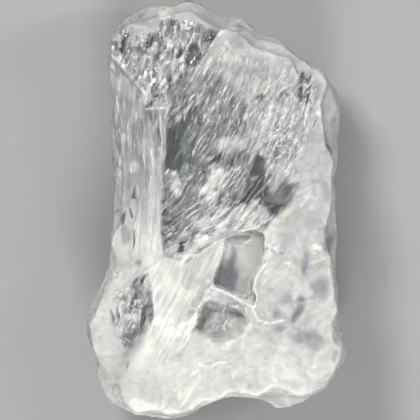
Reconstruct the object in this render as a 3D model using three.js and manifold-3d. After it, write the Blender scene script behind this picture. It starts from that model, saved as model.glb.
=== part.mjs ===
// A cleaved fragment of petalite, lying on its flattest cleavage face.
// Millimetres. +Z is up, +Y runs along the stone's length and +X across it.
// The origin is under the middle of the stone, on the surface that it rests on.

import * as THREE from "three";
import { mergeVertices } from "three/addons/utils/BufferGeometryUtils.js";
import Module from "manifold-3d";

const wasm = await Module();
wasm.setup();

// ---------- driving dimensions ----------

const THICKNESS = 16; // from the resting face to the crest, before the crest's own relief
const GIRDLE_HEIGHT = 7; // where the stone is widest
const FACE_LEVEL = 12.8; // mean height of the broad upper cleavage face
const FACE_CELL = 1.25; // spacing of the points on the upper face's rough surface
const FAR = 40; // reach of a cutting body past the stone

// Corners of the outline seen from above, clockwise from the left shoulder. A curve runs through them.
const OUTLINE = [
  [-13, 19], [-12.8, 20.2], [-12, 21.6], [-9.3, 22.9], [-6.7, 23.6], [-5.1, 23.1], [-3.9, 24.1], [-2.8, 24.1],
  [0.5, 22.1], [2.7, 22.1], [3.1, 21.3], [4, 21], [4.7, 19.6], [6.2, 19.6], [8.4, 19.1], [8.9, 17.9],
  [11.8, 16.7], [12.7, 15], [13.7, 13.8], [14.3, 9.8], [13.8, 7.7], [13.9, 5.5], [13.2, 3.2], [13.6, 0.5],
  [13.8, -5.2], [13.5, -6.2], [14.4, -14], [15.1, -17], [13.2, -20], [12.8, -21.3], [9, -22.8], [7, -23.3],
  [4.4, -21.8], [1.3, -20.9], [-1.2, -22.4], [-3.5, -24.1], [-7.8, -24.2], [-12.6, -22.9], [-14.3, -19.8],
  [-13.8, -17.6], [-14.8, -15.5], [-15, -12], [-12.6, -7], [-12.1, -3.5], [-12.2, -1], [-11.7, 3],
  [-12.5, 9.2], [-12, 11], [-12.7, 17.4],
];
const OUTLINE_POINTS = 94; // points that the curve is cut into, about 1.4 mm apart

// The line that the flanks draw in towards, end to end.
const SPINE = [new THREE.Vector2(-0.5, 14), new THREE.Vector2(0, -14)];

// Levels of the flank: height, how far out it stands as a share of the way from the spine to the outline, and
// how much of the outline's fine notches it has lost.
const FLANK_LEVELS = [
  [-1, 0.8, 1], [1.4, 0.88, 1], [3.8, 0.95, 0.8], [5.8, 0.985, 0.4], [GIRDLE_HEIGHT, 1, 0], [8.2, 0.996, 0.3],
  [10, 0.992, 0.5], [12, 0.984, 0.5], [14.2, 0.97, 0.6], [THICKNESS + 2, 0.93, 0.8],
];
const NOTCH_SPAN = 4; // outline points on each side that an outline without its notches is averaged over

// ---------- small tools ----------

// A repeatable number from 0 to 1 for three whole numbers.
function chance(i, j, k) {
  const s = Math.sin(i * 127.1 + j * 311.7 + k * 74.7) * 43758.5453;
  return s - Math.floor(s);
}

// Smooth noise from -1 to 1 with features about one unit wide.
function noise(x, y, seed) {
  const i = Math.floor(x);
  const j = Math.floor(y);
  const u = THREE.MathUtils.smoothstep(x - i, 0, 1);
  const v = THREE.MathUtils.smoothstep(y - j, 0, 1);
  const low = THREE.MathUtils.lerp(chance(i, j, seed), chance(i + 1, j, seed), u);
  const high = THREE.MathUtils.lerp(chance(i, j + 1, seed), chance(i + 1, j + 1, seed), u);
  return 2 * THREE.MathUtils.lerp(low, high, v) - 1;
}

function bump(x, y, [cx, cy], radius) {
  return Math.exp(-((x - cx) ** 2 + (y - cy) ** 2) / (radius * radius));
}

function toSolid(geometry) {
  const bare = geometry.clone();
  bare.deleteAttribute("normal");
  bare.deleteAttribute("uv");
  const merged = mergeVertices(bare, 1e-4);
  return new wasm.Manifold(
    new wasm.Mesh({
      numProp: 3,
      vertProperties: new Float32Array(merged.attributes.position.array),
      triVerts: new Uint32Array(merged.index.array),
    }),
  );
}

function toGeometry(solid) {
  const mesh = solid.getMesh();
  return new THREE.BufferGeometry()
    .setAttribute("position", new THREE.BufferAttribute(mesh.vertProperties, 3))
    .setIndex(new THREE.BufferAttribute(mesh.triVerts, 1));
}

// A closed body from rings of points, each ring the same length and going round anticlockwise from above.
function loft(rings) {
  const count = rings[0].length;
  const points = rings.flat();
  const triangles = [];
  for (let level = 0; level + 1 < rings.length; level++) {
    for (let i = 0; i < count; i++) {
      const a = level * count + i;
      const b = level * count + ((i + 1) % count);
      triangles.push(a, b, b + count, a, b + count, a + count);
    }
  }
  const flat = rings[0].map((p) => new THREE.Vector2(p.x, p.y));
  const top = (rings.length - 1) * count;
  for (const [a, b, c] of THREE.ShapeUtils.triangulateShape(flat, [])) triangles.push(a, c, b);
  const lid = rings[rings.length - 1].map((p) => new THREE.Vector2(p.x, p.y));
  for (const corners of THREE.ShapeUtils.triangulateShape(lid, [])) {
    triangles.push(...corners.map((corner) => top + corner));
  }
  return new THREE.BufferGeometry().setFromPoints(points).setIndex(triangles);
}

// A plane through a point [x, y, z] that climbs by slopeX and slopeY per millimetre.
function plane([x0, y0, z0], slopeX, slopeY) {
  return (x, y) => z0 + slopeX * (x - x0) + slopeY * (y - y0);
}

// A prism over a polygon, from one surface up to another, each given as z(x, y). The foot is drawn in by
// footShare towards the polygon's middle, so that its walls lean.
function prism(polygon, floor, ceiling, footShare = 1) {
  const geometry = new THREE.ExtrudeGeometry(
    new THREE.Shape(polygon.map(([x, y]) => new THREE.Vector2(x, y))),
    { depth: 1, bevelEnabled: false },
  );
  const middle = [0, 1].map((axis) => polygon.reduce((sum, p) => sum + p[axis], 0) / polygon.length);
  const position = geometry.attributes.position;
  for (let i = 0; i < position.count; i++) {
    const isFoot = position.getZ(i) < 0.5;
    const share = isFoot ? footShare : 1;
    const x = middle[0] + (position.getX(i) - middle[0]) * share;
    const y = middle[1] + (position.getY(i) - middle[1]) * share;
    position.setXYZ(i, x, y, isFoot ? floor(x, y) : ceiling(x, y));
  }
  return toSolid(geometry);
}

const skyward = () => FAR;
const earthward = () => -FAR;
const EVERYWHERE = [[-FAR, -FAR], [FAR, -FAR], [FAR, FAR], [-FAR, FAR]];

function joined(solids) {
  return solids.reduce((all, one) => all.add(one));
}

// ---------- flanks ----------

const rim = new THREE.CatmullRomCurve3(OUTLINE.map(([x, y]) => new THREE.Vector3(x, y, 0)).reverse(), true);
const outline = rim.getSpacedPoints(OUTLINE_POINTS).slice(1).map((p) => new THREE.Vector2(p.x, p.y));
const plainOutline = outline.map((_, i) => {
  const sum = new THREE.Vector2();
  for (let k = -NOTCH_SPAN; k <= NOTCH_SPAN; k++) sum.add(outline.at((i + k) % outline.length));
  return sum.divideScalar(2 * NOTCH_SPAN + 1);
});

function flankBody() {
  const along = SPINE[1].clone().sub(SPINE[0]);
  const rings = FLANK_LEVELS.map(([z, reach, plainness], level) =>
    outline.map((notched, i) => {
      const p = notched.clone().lerp(plainOutline[i], plainness);
      const share = THREE.MathUtils.clamp(p.clone().sub(SPINE[0]).dot(along) / along.lengthSq(), 0, 1);
      const centre = SPINE[0].clone().addScaledVector(along, share);
      const turn = Math.atan2(p.y / 1.6, p.x);
      const lean = 1 + 0.3 * Math.sin(2 * turn + 0.7) + 0.3 * noise(turn * 3, level * 0.5, 5);
      const rough = reach < 1 ? 0.014 * noise(i * 0.9, level * 1.3, 9) : 0;
      const at = p.clone().sub(centre).multiplyScalar(1 - (1 - reach) * lean + rough).add(centre);
      const lift = 1.1 * Math.sin(turn * 2 - 0.6) + 0.7 * noise(turn * 4, 3, 2);
      const isInner = level > 0 && level + 1 < FLANK_LEVELS.length;
      return new THREE.Vector3(at.x, at.y, z + (isInner ? lift : 0));
    }),
  );
  return toSolid(loft(rings));
}

// Rows of shell-shaped fractures knocked off the flanks all the way round: the height that they pass through,
// how deep they go, how far they face up from level in degrees, and the radius that each is hollowed to.
const FRACTURE_ROWS = [
  { count: 12, z: 2.4, depth: [0.9, 2.4], tilt: [-58, -36], radius: [9, 15], seed: 31 },
  { count: 11, z: 4.2, depth: [0.2, 0.7], tilt: [-30, -16], radius: [7, 14], seed: 37 },
  { count: 13, z: 9.6, depth: [0.2, 0.6], tilt: [8, 24], radius: [7, 14], seed: 44 },
  { count: 17, z: 12.8, depth: [-0.1, 0.35], tilt: [34, 52], radius: [3, 7], seed: 47 },
];

// How far the flats of a fracture's ball stand from its middle, as a share of its radius.
const SHELL_FLATTENING = 0.95;

function fractures() {
  const bodies = [];
  for (const { count, z, depth, tilt, radius, seed } of FRACTURE_ROWS) {
    for (let n = 0; n < count; n++) {
      const i = Math.floor(((n + 0.7 * chance(n, 1, seed)) / count) * outline.length) % outline.length;
      const way = plainOutline.at((i + 3) % outline.length).clone().sub(plainOutline.at(i - 3));
      const azimuth = Math.atan2(-way.x, way.y) + 0.3 * (2 * chance(n, 2, seed) - 1);
      const rise = THREE.MathUtils.degToRad(THREE.MathUtils.lerp(...tilt, chance(n, 3, seed)));
      const size = THREE.MathUtils.lerp(...radius, chance(n, 4, seed));
      const outward = new THREE.Vector3(
        Math.cos(azimuth) * Math.cos(rise),
        Math.sin(azimuth) * Math.cos(rise),
        Math.sin(rise),
      );
      const reach = size * SHELL_FLATTENING - THREE.MathUtils.lerp(...depth, chance(n, 5, seed));
      const at = new THREE.Vector3(plainOutline[i].x, plainOutline[i].y, z).addScaledVector(outward, reach);
      const geometry = new THREE.IcosahedronGeometry(size, 1);
      geometry.rotateX(6 * chance(n, 6, seed));
      geometry.rotateY(6 * chance(n, 7, seed));
      geometry.translate(at.x, at.y, at.z);
      bodies.push(toSolid(geometry));
    }
  }
  return bodies;
}

// ---------- upper face ----------

// Broad swells and hollows of the upper face: [x, y], radius, height.
const SWELLS = [
  [[8.5, -8], 7.5, 2.1],
  [[10, 2], 6, 0.7],
  [[-9.5, 19.5], 4.5, 0.9],
  [[-4.5, -15], 6, 1.2],
  [[6.5, -17], 6, 1.1],
  [[1, 5], 7, -0.5],
  [[-13, -12], 4.5, -1.2],
  [[5, 20], 4, -0.6],
];

function faceHeight(x, y) {
  let z = FACE_LEVEL + 0.03 * x - 0.01 * y;
  for (const [at, radius, height] of SWELLS) z += height * bump(x, y, at, radius);
  return z + 0.42 * noise(x / 4.2, y / 4.2, 1) + 0.2 * noise(x / 1.9, y / 1.9, 4);
}

// The upper face as a body that reaches down past the stone, with a rough lid.
function faceBody() {
  const half = [16.5, 26];
  const columns = Math.round((2 * half[0]) / FACE_CELL);
  const rows = Math.round((2 * half[1]) / FACE_CELL);
  const geometry = new THREE.BoxGeometry(2 * half[0], 2 * half[1], 1, columns, rows, 1);
  const position = geometry.attributes.position;
  for (let i = 0; i < position.count; i++) {
    const x0 = position.getX(i);
    const y0 = position.getY(i);
    if (position.getZ(i) < 0) {
      position.setZ(i, -3);
      continue;
    }
    const isRim = Math.abs(x0) > half[0] - 0.1 || Math.abs(y0) > half[1] - 0.1;
    const wander = isRim ? 0 : 0.33 * FACE_CELL;
    const x = x0 + wander * noise(x0 * 1.7, y0 * 1.7, 21);
    const y = y0 + wander * noise(x0 * 1.7, y0 * 1.7, 22);
    position.setXYZ(i, x, y, faceHeight(x, y));
  }
  return toSolid(geometry);
}

// Cleavage faces, ledges and pits cut down into the upper face: outline, floor plane, and for a pit the share
// of its mouth that its foot keeps.
const CUTS = {
  leftCleavage: {
    at: [[-16, 17.2], [-11.8, 17], [-10, 14.8], [-8, 12.5], [-6.2, 10.8], [-5.9, 6.5], [-6.3, 5], [-6.4, 1],
      [-6.5, -3], [-6.2, -6], [-8, -8], [-12, -6.6], [-16, -6]],
    floor: plane([-6.2, 2, 13.2], 0.5, -0.02),
  },
  leftEdge: {
    at: [[-16, 17], [-12, 16], [-11.2, 12], [-11.3, 9], [-10.8, 5], [-10.8, 2], [-11.4, -1], [-16, -2]],
    floor: plane([-11.2, 7, 9.9], 1.6, 0.02),
  },
  sweepFace: {
    at: [[0, 20.5], [-2.2, 16.8], [-5.6, 12], [-5.9, 6.5], [-6.3, 5], [-6.4, 1], [-6.5, -3], [-6, -6],
      [-4.3, -6], [-3, -4.8], [0.6, -3], [5.4, -2.5], [9, 2.4], [10, 9], [7.5, 14], [2, 15.3], [0.7, 18.5]],
    floor: plane([-5.9, 4, 11.9], 0.145, 0.025),
  },
  tongueLedge: {
    at: [[5.3, -2.4], [0.9, -3], [-3, -4.7], [-5.4, -6], [-6.7, -7.5], [-7, -12], [-4.5, -14.5],
      [-1.7, -10.5], [-0.9, -8.9], [1.5, -5.2]],
    floor: plane([-3, -6, 12.15], -0.06, -0.13),
  },
  clearWindow: {
    at: [[0.9, -2.9], [5.3, -2.4], [5.5, -4.4], [5, -6.5], [4.1, -8.2], [3.9, -10], [4.2, -11.2],
      [-0.9, -8.9]],
    floor: plane([2, -6, 11.55], 0.08, 0.02),
    foot: 0.93,
  },
  lowerWindow: {
    at: [[-1.7, -10.3], [1.5, -11.2], [4, -12.2], [3.2, -13.8], [0.4, -15.2], [-1, -14.6], [-3.1, -14.2]],
    floor: plane([0, -12, 11.8], 0.02, -0.28),
    foot: 0.9,
  },
  lobeFace: {
    at: [[-17, -6.4], [-9.6, -6.5], [-8, -8.8], [-7.6, -12.5], [-9, -15.5], [-11, -18.5], [-12.4, -21.4],
      [-17, -22]],
    floor: plane([-9.5, -12, 12.1], 0.34, 0.02),
  },
  lobeHollow: {
    at: [[-9.4, -7.2], [-8, -8.6], [-7.4, -12.4], [-8.4, -14.4], [-10.5, -17], [-11.1, -15.5], [-11, -12.8],
      [-11.4, -10.6], [-10.6, -8.6]],
    floor: plane([-9.5, -12, 11.1], 0.24, 0.02),
    foot: 0.72,
  },
  rightSlab: {
    at: [[12.8, 15], [11.8, 12], [12, 9.5], [12.3, 7.6], [13.2, 5.4], [17, 5], [17, 15.5]],
    floor: plane([12.6, 9.5, 10.6], -0.5, 0.02),
  },
  crownFacet: {
    at: [[-13.5, 20.7], [-10.2, 20.8], [-7, 21.8], [-4.6, 22.3], [-3, 22.6], [0.4, 21.3], [1, 26], [-14, 26]],
    floor: plane([-7, 22, 10.6], 0.02, -1.1),
  },
  shoulderStep: {
    at: [[2.4, 21.5], [4.4, 19.4], [8.2, 18.7], [9, 17.5], [11.6, 16.4], [17, 18], [10, 26], [2, 26]],
    floor: plane([6, 18.4, 11.2], -0.05, -0.55),
  },
  baseFacet: {
    at: [[1.6, -20.6], [-1.4, -21.8], [-3, -23.2], [-6, -23.8], [-11, -23.2], [-14, -26], [4, -26]],
    floor: plane([-4, -23.2, 11.2], 0.05, 1.4),
  },
  rightBaseFacet: {
    at: [[1, -20.7], [5, -21.7], [7.2, -22.9], [11, -21.8], [13.4, -19.6], [17, -18], [16, -26], [0.4, -26]],
    floor: plane([9, -22.2, 11], -0.1, 1.3),
  },
};

// How deep in the stone a standing plate is rooted.
const PLATE_ROOT = 6;

// Plates left standing proud of the upper face: outline and top plane.
const PLATES = {
  upperSlab: {
    at: [[0.5, 21], [-2, 16.8], [-3.6, 14], [1.7, 14.3], [6.2, 12.8], [9.6, 14.5], [8.3, 17.2], [4.2, 18.2],
      [2, 20.6]],
    top: plane([1, 17, 13.5], 0.03, 0.16),
  },
  crossBlade: {
    at: [[-1.8, -9.6], [-0.8, -8.9], [2, -10], [4.6, -11.4], [4.3, -12], [1.4, -11.2], [-1.9, -10.4]],
    top: plane([1.2, -10.2, 12.9], 0.02, 0.25),
  },
  lumpRim: {
    at: [[3.8, -8.2], [4.8, -7], [5.3, -9.2], [5.4, -11.5], [8, -12.6], [6.6, -13.4], [5, -13], [4, -11.9],
      [3.5, -10]],
    top: plane([5, -10.5, 14.05], 0.12, 0.0),
  },
};

// ---------- splinters ----------

// The way that cleavage splinters run over the upper face, in degrees from +X: they sweep up and fan out.
function sweepAngle(x, y) {
  const curl = 30 * THREE.MathUtils.smoothstep(y, -3.5, 4.5);
  return 35 + curl + THREE.MathUtils.clamp((y - 4.5) * 0.8, 0, 14) + (x > 9 ? 10 : 0);
}

// How far a splinter's ridge lies over, as a share of its half width.
const SPLINTER_LEAN = 0.8;

// A long pointed splinter lying at a point: an octahedron with its ridge pushed over to one side.
function splinter([x, y, z], length, width, height, degrees, dip) {
  const geometry = new THREE.OctahedronGeometry(1, 0);
  geometry.applyMatrix4(new THREE.Matrix4().makeShear(0, 0, 0, 0, 0, SPLINTER_LEAN));
  geometry.scale(length / 2, width / 2, height);
  geometry.rotateY(THREE.MathUtils.degToRad(dip));
  geometry.rotateZ(THREE.MathUtils.degToRad(degrees));
  geometry.translate(x, y, z);
  return toSolid(geometry);
}

// Where splinters stand: a patch's middle and half sizes, how many there are, their sizes, and the way that
// they run, in degrees, if it isn't the sweep's. Every third one is a groove instead.
const SPLINTER_PATCHES = [
  { middle: [1.5, 6], half: [6.5, 8.5], count: 40, length: [5, 11], width: 1.1, height: 0.36 },
  { middle: [9.5, 8], half: [3, 6], count: 10, length: [4, 7], width: 0.9, height: 0.3 },
  { middle: [-7.5, 18], half: [4, 3.5], count: 12, length: [2.4, 4.4], width: 1.1, height: 0.42, run: 72 },
  { middle: [-8.5, 3], half: [2, 9], count: 12, length: [6, 12], width: 0.8, height: 0.24, run: 91 },
  { middle: [-5, -16], half: [3, 5], count: 8, length: [4, 8], width: 0.9, height: 0.26, run: 66 },
];

function splinters(stone) {
  const ridges = [];
  const grooves = [];
  SPLINTER_PATCHES.forEach((patch, p) => {
    for (let n = 0; n < patch.count; n++) {
      const x = patch.middle[0] + patch.half[0] * (2 * chance(n, p, 1) - 1);
      const y = patch.middle[1] + patch.half[1] * (2 * chance(n, p, 2) - 1);
      const length = THREE.MathUtils.lerp(patch.length[0], patch.length[1], chance(n, p, 3));
      const width = patch.width * (0.7 + 0.6 * chance(n, p, 4));
      const height = patch.height * (0.7 + 0.6 * chance(n, p, 5));
      const degrees = (patch.run ?? sweepAngle(x, y)) + 6 * (2 * chance(n, p, 6) - 1);
      const dip = 3 * (2 * chance(n, p, 7) - 1);
      const z = surfaceHeight(stone, x, y);
      const body = splinter([x, y, z], length, width, height, degrees, dip);
      (n % 3 === 2 ? grooves : ridges).push(body);
    }
  });
  return { ridges: joined(ridges), grooves: joined(grooves) };
}

// The height of the stone's upper surface at a point, by a ray from above.
const probe = new THREE.Raycaster();
let probed = null;
function surfaceHeight(stone, x, y) {
  if (!probed || probed.userData.of !== stone) {
    probed = new THREE.Mesh(toGeometry(stone), new THREE.MeshBasicMaterial());
    probed.userData.of = stone;
  }
  probe.set(new THREE.Vector3(x + 0.013, y + 0.007, FAR), new THREE.Vector3(0, 0, -1));
  const hits = probe.intersectObject(probed);
  return hits.length ? hits[0].point.z : 0;
}

// ---------- underside ----------

// Cleavage terraces above the resting face, cut up from below: outline and ceiling plane.
const TERRACES = [
  {
    at: [[-17, 27], [-17, 9], [-8.5, 8.2], [-6, 11], [-3.2, 12.4], [1.5, 13.8], [3.2, 17], [5, 27]],
    ceiling: plane([-6, 12, 0.9], -0.03, 0.16),
  },
  {
    at: [[4.6, 27], [3.4, 18.5], [5.4, 12.5], [7.6, 5], [8.6, -4], [17, -5], [17, 27]],
    ceiling: plane([8, 6, 0.8], 0.2, 0.04),
  },
  {
    at: [[-17, -8.6], [-9.4, -8], [-7.4, -12.4], [-3, -16], [1.4, -17], [4.8, -27], [-17, -27]],
    ceiling: plane([-7, -13, 0.7], -0.1, -0.17),
  },
  {
    at: [[2.6, -27], [4.4, -17], [7.8, -14.6], [9.6, -9.4], [17, -8.4], [17, -27]],
    ceiling: plane([8, -16, 1.1], 0.16, -0.12),
  },
  {
    at: [[-17, 6.6], [-9.6, 6.2], [-8.2, -1], [-9.6, -6.6], [-17, -7.4]],
    ceiling: plane([-9, 0, 0.6], -0.42, 0.02),
  },
];

// ---------- the stone ----------

function petalite() {
  const flanks = flankBody();
  let stone = flanks.intersect(faceBody());
  stone = stone.subtract(prism(EVERYWHERE, earthward, () => 0));
  for (const cut of Object.values(CUTS)) stone = stone.subtract(prism(cut.at, cut.floor, skyward, cut.foot));
  const plates = Object.values(PLATES).map((plate) => prism(plate.at, () => PLATE_ROOT, plate.top));
  stone = stone.add(joined(plates).intersect(flanks));
  for (const terrace of TERRACES) stone = stone.subtract(prism(terrace.at, earthward, terrace.ceiling));
  stone = stone.subtract(joined(fractures()));
  const { ridges, grooves } = splinters(stone);
  stone = stone.add(ridges.intersect(flanks)).subtract(grooves);
  return largest(stone);
}

// The biggest of a solid's separate bodies: cutting leaves crumbs at thin edges.
function largest(solid) {
  return solid.decompose().reduce((best, body) => (body.volume() > best.volume() ? body : best));
}

// The stone moved so that the origin is under the middle of its bounding box.
function centred(geometry) {
  geometry.computeBoundingBox();
  const middle = geometry.boundingBox.getCenter(new THREE.Vector3());
  return geometry.translate(-middle.x, -middle.y, -geometry.boundingBox.min.z);
}

const mesh = new THREE.Mesh(
  centred(toGeometry(petalite())),
  new THREE.MeshStandardMaterial({ name: "petalite", color: 0xdfe1dc, roughness: 0.25, metalness: 0 }),
);
mesh.name = "petalite";

const group = new THREE.Group();
group.name = "petalite_specimen";
group.add(mesh);

export default group;
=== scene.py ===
"""A fragment of petalite about 48 mm long, cleaved and broken, lying on its flattest face.

The stone's body is the CAD solid. This script gives it its skin: a fine mesh over that solid with the
splinters, steps, crumbs and pits of the broken surface, and the clear and milky mineral under it.
"""

import math
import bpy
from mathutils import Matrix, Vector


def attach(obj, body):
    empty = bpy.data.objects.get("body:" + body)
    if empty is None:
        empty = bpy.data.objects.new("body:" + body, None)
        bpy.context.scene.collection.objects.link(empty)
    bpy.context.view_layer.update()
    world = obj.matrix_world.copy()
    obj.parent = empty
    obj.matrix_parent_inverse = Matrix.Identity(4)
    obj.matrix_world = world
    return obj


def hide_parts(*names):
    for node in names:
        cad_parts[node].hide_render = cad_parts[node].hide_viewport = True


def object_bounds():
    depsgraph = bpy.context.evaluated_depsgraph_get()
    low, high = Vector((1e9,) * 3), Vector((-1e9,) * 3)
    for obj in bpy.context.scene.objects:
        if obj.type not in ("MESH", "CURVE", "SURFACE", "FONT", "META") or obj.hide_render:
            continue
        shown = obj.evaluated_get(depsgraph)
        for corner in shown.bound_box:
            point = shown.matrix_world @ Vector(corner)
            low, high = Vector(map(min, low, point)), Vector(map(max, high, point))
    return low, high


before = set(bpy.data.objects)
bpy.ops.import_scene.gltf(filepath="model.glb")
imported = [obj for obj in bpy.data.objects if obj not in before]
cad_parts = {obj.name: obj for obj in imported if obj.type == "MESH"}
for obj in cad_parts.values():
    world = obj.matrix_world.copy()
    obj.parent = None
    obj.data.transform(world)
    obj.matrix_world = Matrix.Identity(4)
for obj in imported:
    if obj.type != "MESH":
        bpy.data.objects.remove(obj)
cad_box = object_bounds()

from types import SimpleNamespace

import bmesh
import bpy
import numpy as np
from mathutils import Vector
from mathutils.bvhtree import BVHTree

MM = 0.001

# ---------- sizes of the skin ----------

# Millimetres between the skin's points on the flanks. It is halved on the upper face and halved again on its
# rough parts. A face belongs to the upper face where it looks up by more than UPWARD, of 1 for straight up.
SKIN_SPACING = 0.455
UPWARD = 0.4

# How many times each point is moved to the middle of its neighbours, to blunt the solid's edges and to wear
# its rims round. Edges between faces that turn by more than SHARP_TURN degrees stay sharp to the eye.
BLUNT_ROUNDS = 8
WORN_ROUNDS = 40
SHARP_TURN = 38

# The stone is about STRETCH times as long as it is wide, and its sides are about FLANK_RADIUS millimetres
# from its middle.
STRETCH = 1.6
FLANK_RADIUS = 14

# The grain of the splintery break: how steeply it climbs from +X, in degrees, at places along the stone.
SWEEP_AT = [-25, -10, -3.5, 0, 4.5, 10, 22]
SWEEP_TURN = [52, 42, 36, 48, 62, 64, 74]

# The way that the grain runs elsewhere, in degrees from +X.
KNOB_TURN = 74
GRAIN_TURNS = {"knob": KNOB_TURN, "plank": 90, "hollow": 68, "tongue": 64}


# ---------- repeatable noise ----------


def chance(i, j, seed):
    """A repeatable number from 0 to 1 for each pair of whole numbers."""
    s = np.sin(i * 127.1 + j * 311.7 + seed * 74.7) * 43758.5453
    return s - np.floor(s)


def ease(t):
    """0 below 0, 1 above 1 and a soft rise between."""
    t = np.clip(t, 0, 1)
    return t * t * (3 - 2 * t)


def step(value, low, high):
    """0 below low, 1 above high and a soft rise between."""
    return ease((value - low) / (high - low))


def mix(a, b, share):
    """From a, where share is 0, to b, where it is 1."""
    return a + (b - a) * share


def noise(x, y, seed):
    """Smooth noise from -1 to 1 with features about one unit wide."""
    i, j = np.floor(x), np.floor(y)
    u, v = ease(x - i), ease(y - j)
    low = mix(chance(i, j, seed), chance(i + 1, j, seed), u)
    high = mix(chance(i, j + 1, seed), chance(i + 1, j + 1, seed), u)
    return 2 * mix(low, high, v) - 1


def turned(x, y, degrees):
    """Places measured along and across a line that is turned from +X."""
    cos, sin = math.cos(math.radians(degrees)), math.sin(math.radians(degrees))
    return x * cos + y * sin, y * cos - x * sin


def clouds(x, y, seed, octaves=4):
    """Noise with finer noise on it: each layer has half the last one's size and height, and another turn."""
    scales = [2**n for n in range(octaves)]
    layers = [noise(*turned(x * k, y * k, 28 + 64 * n), seed + 7 * n) / k for n, k in enumerate(scales)]
    return sum(layers) / 1.9


def threads(x, y, seed):
    """Thin winding lines about one unit apart: 1 on a line and 0 away from it."""
    return ease(1 - np.abs(noise(x, y, seed) + 0.4 * noise(x * 2.1, y * 2.1, seed + 5)) / 0.16)


def crumbs(x, y, size, seed):
    """Small flat facets: heights within about half a facet's size, and each facet's own number, 0 to 1."""
    gx, gy = x / size, y / size
    best = np.full(x.shape, 9.0)
    height, own = np.zeros(x.shape), np.zeros(x.shape)
    for di in (-1, 0, 1):
        for dj in (-1, 0, 1):
            i, j = np.floor(gx) + di, np.floor(gy) + dj
            px = gx - (i + chance(i, j, seed))
            py = gy - (j + chance(i, j, seed + 1))
            far = px * px + py * py
            turn = 2 * math.pi * chance(i, j, seed + 2)
            tilt = chance(i, j, seed + 3)
            plane = tilt * (px * np.cos(turn) + py * np.sin(turn))
            closer = far < best
            best = np.where(closer, far, best)
            height = np.where(closer, plane, height)
            own = np.where(closer, chance(i, j, seed + 4), own)
    return height, own


def blades(across, along, width, length, seed):
    """Overlapping splinters with pointed ends, each sloping gently to one side and steep on the other."""
    lane = across / width + 0.5 * noise(across / (width * 5), along / length * 0.8, seed)
    i = np.floor(lane)
    run = along / length + chance(i, 3, seed) * 17
    j = np.floor(run)
    lens = np.sin(math.pi * (run - j)) ** 0.7
    side = (lane - i - 0.5) / np.maximum(0.5 * lens, 0.02)
    slope = np.where(chance(i, j, seed + 1) > 0.3, side, -side)
    profile = np.where(np.abs(side) < 1, 0.5 + 0.5 * slope, 0)
    return profile * lens * (0.35 + 0.65 * chance(i, j, seed + 2))


# ---------- places on the stone, seen from above, in millimetres ----------


def spot(x, y, oval):
    """An oval given as x, y, half length, half width and turn: 1 in the middle, 0.5 at its soft edge."""
    middle_x, middle_y, length, width, turn = oval
    along, across = turned(x - middle_x, y - middle_y, turn)
    return ease(1.5 - np.hypot(along / length, across / width))


def spots(x, y, ovals):
    """1 in the middle of any of the ovals."""
    return np.maximum.reduce([spot(x, y, oval) for oval in ovals])


def line(x, y, points):
    """Distance from a line through the points."""
    near = np.full(x.shape, 99.0)
    for (ax, ay), (bx, by) in zip(points, points[1:]):
        dx, dy = bx - ax, by - ay
        share = np.clip(((x - ax) * dx + (y - ay) * dy) / (dx * dx + dy * dy), 0, 1)
        near = np.minimum(near, np.hypot(x - ax - share * dx, y - ay - share * dy))
    return near


def field(x, y, outline, soft):
    """1 inside a closed outline and 0 outside it, with an edge that fades over soft millimetres."""
    corners = outline + outline[:1]
    inside = np.zeros(x.shape, bool)
    for (ax, ay), (bx, by) in zip(corners, corners[1:]):
        crosses = (ay > y) != (by > y)
        inside ^= crosses & (x < (bx - ax) * (y - ay) / (by - ay if by != ay else 1e-9) + ax)
    near = line(x, y, corners)
    return ease(0.5 + np.where(inside, near, -near) / soft)


# The milky tongue's right edge, broken into teeth where it stands over the pocket.
TONGUE_EDGE = [(0.9, -3), (0.4, -5.5), (-0.2, -7.3), (-0.8, -8.9), (-1.7, -10.5), (-2.5, -11.8), (-2, -12),
               (-2.6, -12.7), (-2.3, -12.9), (-3.3, -14.3), (-3, -14.4), (-3.9, -15.8)]

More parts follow.
